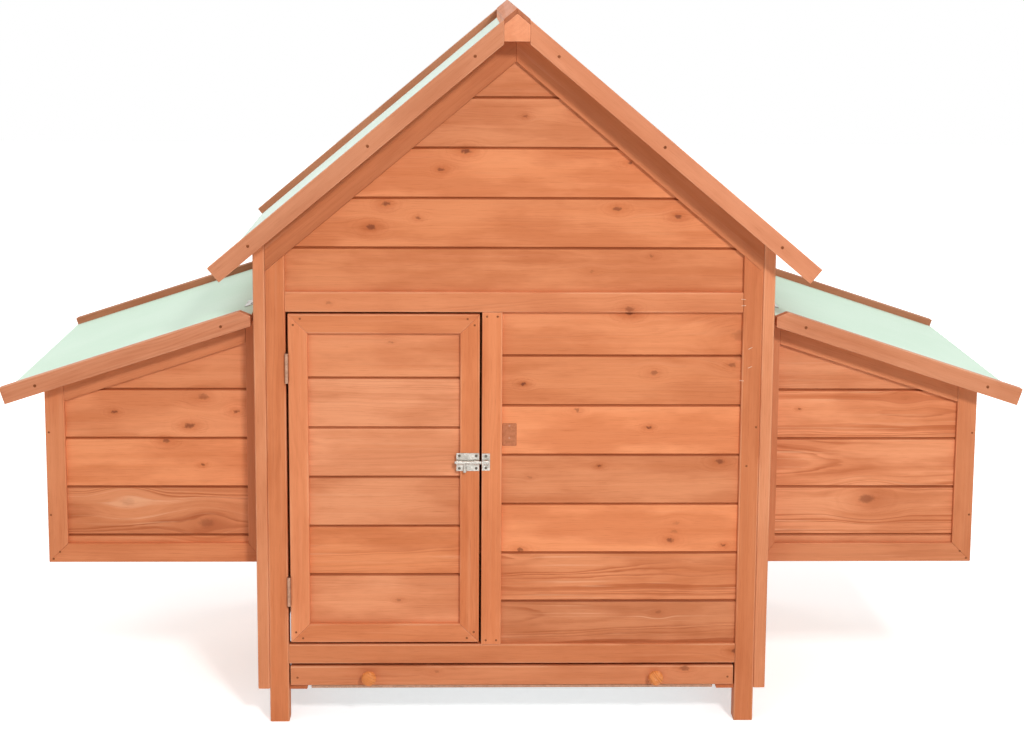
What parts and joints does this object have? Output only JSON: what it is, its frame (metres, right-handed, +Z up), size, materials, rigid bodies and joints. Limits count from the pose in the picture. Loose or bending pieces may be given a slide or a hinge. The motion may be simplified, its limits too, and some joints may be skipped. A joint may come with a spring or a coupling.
{
  "type": "chicken coop",
  "caption": "Raised timber chicken coop with a gable roof, a hinged and bolted front door, lidded nest boxes at the sides and a pull-out tray underneath.",
  "frame": {"origin": "on the ground below the middle of the coop", "axes": "+X to the right along the ridge's span, +Y to the back along the ridge, +Z up"},
  "size_m": [1.464, 0.68, 1.0341],
  "materials": {
    "stained_board": "orange-stained fir boards, satin",
    "stained_frame": "orange-stained fir frame timber, satin",
    "plywood": "thin stained plywood",
    "green_sheet": "mint green roofing sheet, matt",
    "zinc_plate": "zinc-plated steel",
    "galvanised_pan": "galvanised sheet steel"
  },
  "bodies": {
    "coop": {"front_wall_boards": "stained_board", "front_gable_boards": "stained_board", "back_wall_boards": "stained_board", "back_gable_boards": "stained_board", "left_wall_boards": "stained_board", "right_wall_boards": "stained_board", "left_nest_boards": "stained_board", "right_nest_boards": "stained_board", "left_roof_panel": "plywood", "right_roof_panel": "plywood", "left_nest_floor": "plywood", "right_nest_floor": "plywood", "left_roof_sheet": "green_sheet", "right_roof_sheet": "green_sheet", "door_hinge_post_leaves": "zinc_plate", "latch_keeper": "zinc_plate", "left_lid_hinge_wall_leaves": "zinc_plate", "right_lid_hinge_wall_leaves": "zinc_plate", "front_left_post": "stained_frame", "front_right_post": "stained_frame", "back_left_post": "stained_frame", "back_right_post": "stained_frame", "front_rails": "stained_frame", "front_mullion": "stained_frame", "front_gable_rafters": "stained_frame", "back_frame": "stained_frame", "back_gable_rafters": "stained_frame", "perch": "stained_frame", "perch_cleats": "stained_frame", "tray_runners": "stained_frame", "ridge_beam": "stained_frame", "ridge_caps": "stained_frame", "left_wall_frame": "stained_frame", "right_wall_frame": "stained_frame", "left_roof_barges": "stained_frame", "right_roof_barges": "stained_frame", "left_nest_frame": "stained_frame", "right_nest_frame": "stained_frame"},
    "door": {"door_stiles": "stained_frame", "door_rails": "stained_frame", "door_boards": "stained_board", "door_hinge_door_leaves": "zinc_plate", "latch_plate": "zinc_plate"},
    "bolt": {"latch_bolt": "zinc_plate"},
    "left_lid": {"left_lid_panel": "plywood", "left_lid_sheet": "green_sheet", "left_lid_barges": "stained_frame", "left_lid_hinge_lid_leaves": "zinc_plate"},
    "right_lid": {"right_lid_panel": "plywood", "right_lid_sheet": "green_sheet", "right_lid_barges": "stained_frame", "right_lid_hinge_lid_leaves": "zinc_plate"},
    "tray": {"tray_front": "stained_frame", "tray_rails": "stained_frame", "tray_pan": "galvanised_pan", "tray_knobs": "stained_frame"}
  },
  "joints": [
    {"name": "door_hinge", "type": "hinge", "parent": "coop", "child": "door", "pos_m": [-0.32235, -0.298, 0.3615], "axis": [0, 0, -1], "range_deg": [0, 175]},
    {"name": "bolt_slide", "type": "slide", "parent": "door", "child": "bolt", "axis": [1, 0, 0], "range_m": [0, 0.01]},
    {"name": "left_lid_hinge", "type": "hinge", "parent": "coop", "child": "left_lid", "pos_m": [-0.3722, 0, 0.60194], "axis": [0, 1, 0], "range_deg": [0, 60]},
    {"name": "right_lid_hinge", "type": "hinge", "parent": "coop", "child": "right_lid", "pos_m": [0.3722, 0, 0.60194], "axis": [0, -1, 0], "range_deg": [0, 60]},
    {"name": "tray_slide", "type": "slide", "parent": "coop", "child": "tray", "axis": [0, -1, 0], "range_m": [0, 0.45]}
  ]
}
